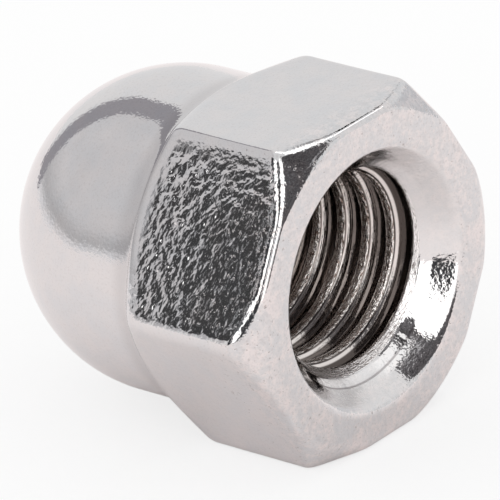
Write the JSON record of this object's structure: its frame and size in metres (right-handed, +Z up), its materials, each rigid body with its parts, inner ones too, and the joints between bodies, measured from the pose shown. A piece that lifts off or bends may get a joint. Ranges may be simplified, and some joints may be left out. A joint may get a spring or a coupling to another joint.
{
  "type": "cap nut",
  "caption": "Hexagon nut closed by a tall domed cap, with a blind metric thread and a countersunk mouth, to cover and protect a bolt's end.",
  "frame": {"origin": "centre of the bearing face, on the thread's axis at the mouth of the hole", "axes": "+Y along the thread's axis from the mouth into the dome, +Z up and square to the upper flat, the nut lying on the flat that faces -Z"},
  "size_m": [0.0218, 0.0229, 0.019],
  "materials": {
    "bright_plating": "bright decorative plating over forged steel, with a faint orange peel on the flats"
  },
  "bodies": {
    "root": {"cap_nut": "bright_plating"}
  },
  "joints": []
}
